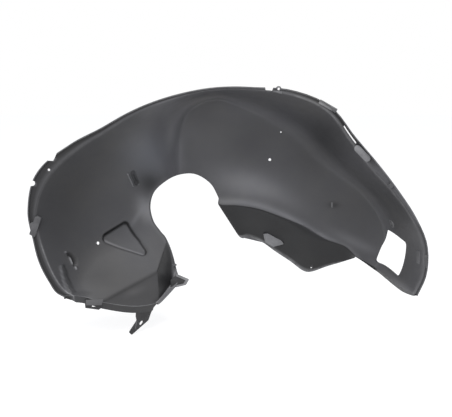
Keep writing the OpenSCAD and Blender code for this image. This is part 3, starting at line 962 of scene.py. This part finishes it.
def pocket_painted_shade(x, z):
    """Painted shade on the sides, and a painted dark line where they meet the panel."""
    below, right = pocket_sides(x, z)
    deepest = np.maximum(below, right)
    on = smooth((12 - np.abs(bowl(x, z) - panel_depth(x, z) - np.maximum(deepest, 0))) / 6)
    sides = -0.6 * smooth((right - np.maximum(below, 0)) / 2)
    sides -= 0.15 * smooth((below - np.maximum(right, 0)) / 2)
    line = 0.3 * bell(deepest, 3.0) * smooth((-60 - x) / 5) * smooth((60 - z) / 5)
    return on * (sides - line)


def wall_painted_light(v, u, q):
    """Painted light and shade that belong to the wheel side of the wall alone."""
    x, z = v[:, 0], v[:, 2]
    wall, barrel, _ = wall_and_barrel(x, z)
    painted_shading = np.interp(u, *FOLD_PAINTED_HIGHLIGHT) * bell(wall - barrel, 45.0)
    painted_shading += np.interp(u, *BARREL_PAINTED_SHADE) * smooth((q - 11) / 4)
    for p in PAINTED_PATCHES:
        painted_shading += patch(x, z, *p)
    for a, b, wide, soft, amount in PAINTED_STREAKS:
        painted_shading += amount * bar(v, a, b, wide, 1.0, soft)
    edge, hollow = thumb(v)
    # painted highlight on the thumb's standing edge and painted shade in its hollow
    return painted_shading + 2.0 * edge - 0.5 * hollow + recess_painted_light(v) + pocket_painted_shade(x, z)


def edge_painted_light(u, q, d):
    """Painted light and shade of the skirt, the creases, the flange and the folded ends."""
    painted_shading = np.interp(u, *SKIRT_PAINTED_SHADE) * smooth((0.2 - q) / 0.5)
    painted_shading += np.interp(u, *CREASE_PAINTED_HIGHLIGHT) * bell(d - 9, 9.0) * smooth((d + 1) / 5)
    painted_shading += np.interp(u, *CUT_OUT_PAINTED_HIGHLIGHT) * bell(d - 3, 6.0)
    painted_shading += np.interp(u, *FLANGE_PAINTED_SHADE_AND_LIGHT) * smooth((q - 16.9) / 0.4)
    # painted shade on the folded rear and front ends, and a painted highlight on the skirt's rear end
    painted_shading -= 0.15 * smooth((u - LAST - 0.05) / 0.3) + 1.0 * smooth((-0.1 - u) / 0.2)
    return painted_shading + 1.5 * smooth((u - 20.3) / 0.3) * smooth((0.2 - q) / 0.5) * smooth((LAST + 0.2 - u) / 0.2)


def edge_highlight_lines(u, q, d):
    """Painted highlights along the crest, the lip, the rear edge and the skirt's free edge."""
    painted_edge_highlight = np.interp(u, *CREST_HIGHLIGHT) * bell(q - 16.5, np.interp(u, *CREST_HIGHLIGHT_WIDTH)) + 0.25 * smooth((q - 18.6) / 0.3)
    rear = smooth((u - LAST + 0.02) / 0.03) * smooth((LAST + 0.3 - u) / 0.2) * (q > 0)
    reach = np.linalg.norm(row(np.clip(u, 0, LAST))[:, SKIRT], axis=1)
    free = smooth((-d - reach + 3.5) / 3) * (q < 0) * smooth((u - 0.5) / 1) * smooth((10 - u) / 0.3)
    return np.maximum(np.maximum(painted_edge_highlight, 0.9 * rear), 0.75 * free)


def put(me, painted_shading, painted_sheen, painted_edge_highlight):
    """Stores the painted light and shade, the painted bluish reflection and the painted edge highlights where
    the material reads them.
    """
    for name, value in (("painted_shading", painted_shading), ("painted_sheen", painted_sheen), ("painted_edge_highlight", painted_edge_highlight)):
        data = np.broadcast_to(np.asarray(value, np.float32), len(me.vertices))
        me.attributes.new(name, "FLOAT", "POINT").data.foreach_set("value", np.ascontiguousarray(data))


def paint_shell_light(me, grid):
    """Painted light and shade of the shell, a painted bluish reflection, and painted highlights along the
    edges.
    """
    v = np.empty(len(me.vertices) * 3)
    me.vertices.foreach_get("co", v)
    v = v.reshape(-1, 3) / MM
    u, q, d, on = grid_places(v, grid)
    wheel = smooth((q + 0.3) / 0.4) * smooth((17.2 - q) / 0.5)
    painted_shading = wheel * wall_painted_light(v, u, q) + edge_painted_light(u, q, d)
    # painted bluish reflection
    painted_sheen = wheel * patch(v[:, 0], v[:, 2], *SHEEN_PATCH)
    put(me, np.where(on, painted_shading, 0), painted_sheen * on, edge_highlight_lines(u, q, d) * on)


# Assembly

# how far the mesh stays inside the CAD box, in metres
HAIR = 2e-5


def assemble(shell, details, mat):
    """Joins the pieces into one mesh, moved into the frame and kept a hair inside the CAD box."""
    for o in [shell] + details:
        o.data.materials.clear()
        o.data.materials.append(mat)
        o.data.shade_smooth()
        o.data.set_sharp_from_angle(angle=math.radians(32))
    chosen = [shell] + details
    with bpy.context.temp_override(active_object=shell, object=shell, selected_editable_objects=chosen):
        bpy.ops.object.join()
    shell.name = "liner_moulding"
    shell.data.transform(Matrix.Translation(SHIFT))
    co = np.empty(len(shell.data.vertices) * 3)
    shell.data.vertices.foreach_get("co", co)
    co = np.clip(co.reshape(-1, 3), np.array(cad_box[0]) + HAIR, np.array(cad_box[1]) - HAIR)
    shell.data.vertices.foreach_set("co", co.ravel())
    shell.data.update()
    return shell


grid = front_grid()
shell = obj("liner_shell", shell_mesh(grid[0]))
cut_holes(shell)
details = ear()
details += [prism(name, pts, lo, hi, rim_matrix(th, out), bevel)
            for name, th, out, pts, lo, hi, bevel in TABS]
details += rear_leg() + clip_plate() + lug() + skirt_pieces() + wall_pieces()
# painted light and shade, a painted bluish reflection and painted edge highlights on the shell
paint_shell_light(shell.data, grid)
# painted light or shade and painted edge highlights on each small piece
for o in details:
    painted_lift, piece_edge_highlight = PIECE_PAINTED_LIGHT[o.name.split(".")[0]]
    put(o.data, painted_lift, 0.0, piece_edge_highlight)
main = assemble(shell, details, moulded_plastic())
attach(main, "root")
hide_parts("liner")

# Studio

# half the floor's width in metres, its glow, and its colour where it is seen and where it lights the liner
FLOOR_HALF = 9
FLOOR_GLOW, FLOOR_SEEN, FLOOR_LIT = 0.8, (0.36, 0.36, 0.37, 1), (0.8, 0.8, 0.8, 1)
WORLD_LIT, WORLD_STRENGTH = (0.95, 0.97, 1.0, 1), 0.55
# middle of the liner, and square lamps round it: name, place from the middle, size, power, colour
MIDDLE = Vector((0.0, 0.1, 0.15)) + SHIFT
LAMPS = (
    ("key", (-0.7, -2.6, 1.3), 1.3, 44, (1, 1, 1)),
    ("top", (0.3, -1.5, 2.7), 1.2, 62, (1, 1, 1)),
    ("fill", (-1.9, -2.3, 0.3), 1.2, 12, (1, 0.99, 0.97)),
)
# the camera of the photograph
CAMERA_AT, CAMERA_TILT = Vector((0.010, -2.1786, 0.4782)) + SHIFT, 82
LENS, SENSOR = 85.89, 36.0


def seen(nodes, links):
    """1 where the camera, a reflection or a see-through part looks at it."""
    path = nodes.new("ShaderNodeLightPath")
    out = path.outputs["Is Camera Ray"]
    for name in ("Is Glossy Ray", "Is Transmission Ray"):
        m = nodes.new("ShaderNodeMath")
        m.operation = "MAXIMUM"
        links.new(out, m.inputs[0])
        links.new(path.outputs[name], m.inputs[1])
        out = m.outputs["Value"]
    return out


def background(nodes, colour, strength):
    b = nodes.new("ShaderNodeBackground")
    b.inputs["Color"].default_value = colour
    b.inputs["Strength"].default_value = strength
    return b.outputs["Background"]


def diffuse(nodes, colour):
    d = nodes.new("ShaderNodeBsdfDiffuse")
    d.inputs["Color"].default_value = colour
    return d.outputs["BSDF"]


def floor_white():
    """Glows where it is seen, and keeps the object's shadow."""
    mat = bpy.data.materials.new("floor_white")
    mat.use_nodes = True
    nodes, links = mat.node_tree.nodes, mat.node_tree.links
    nodes.clear()
    glow = nodes.new("ShaderNodeEmission")
    glow.inputs["Color"].default_value = (1, 1, 1, 1)
    glow.inputs["Strength"].default_value = FLOOR_GLOW
    both = nodes.new("ShaderNodeAddShader")
    links.new(diffuse(nodes, FLOOR_SEEN), both.inputs[0])
    links.new(glow.outputs["Emission"], both.inputs[1])
    choice = nodes.new("ShaderNodeMixShader")
    links.new(seen(nodes, links), choice.inputs["Fac"])
    links.new(diffuse(nodes, FLOOR_LIT), choice.inputs[1])
    links.new(both.outputs["Shader"], choice.inputs[2])
    links.new(choice.outputs["Shader"], nodes.new("ShaderNodeOutputMaterial").inputs["Surface"])
    return mat


def floor():
    h, z = FLOOR_HALF, cad_box[0][2] - 0.0005
    me = bpy.data.meshes.new("floor")
    me.from_pydata([(-h, -h, z), (h, -h, z), (h, h, z), (-h, h, z)], [], [(0, 1, 2, 3)])
    me.materials.append(floor_white())
    o = obj("floor", me)


def backdrop():
    """White where it is seen, plain light for everything else."""
    world = bpy.context.scene.world or bpy.data.worlds.new("world")
    bpy.context.scene.world = world
    world.use_nodes = True
    nodes, links = world.node_tree.nodes, world.node_tree.links
    nodes.clear()
    choice = nodes.new("ShaderNodeMixShader")
    links.new(seen(nodes, links), choice.inputs["Fac"])
    links.new(background(nodes, WORLD_LIT, WORLD_STRENGTH), choice.inputs[1])
    links.new(background(nodes, (1, 1, 1, 1), 1.0), choice.inputs[2])
    links.new(choice.outputs["Shader"], nodes.new("ShaderNodeOutputWorld").inputs["Surface"])


def lamp(name, place, size, power, colour):
    d = bpy.data.lights.new(name, "AREA")
    d.shape, d.size, d.energy, d.color = "SQUARE", size, power, colour
    o = obj(name, d)
    o.location = MIDDLE + Vector(place)
    o.rotation_euler = (-Vector(place)).to_track_quat("-Z", "Y").to_euler()


def camera():
    cam = bpy.data.cameras.new("camera")
    cam.sensor_fit, cam.sensor_width, cam.lens = "HORIZONTAL", SENSOR, LENS
    o = obj("camera", cam)
    o.location = CAMERA_AT
    o.rotation_euler = (math.radians(CAMERA_TILT), 0, 0)
    bpy.context.scene.camera = o
    bpy.context.scene.view_settings.view_transform = "Standard"


floor()
backdrop()
for args in LAMPS:
    lamp(*args)
camera()
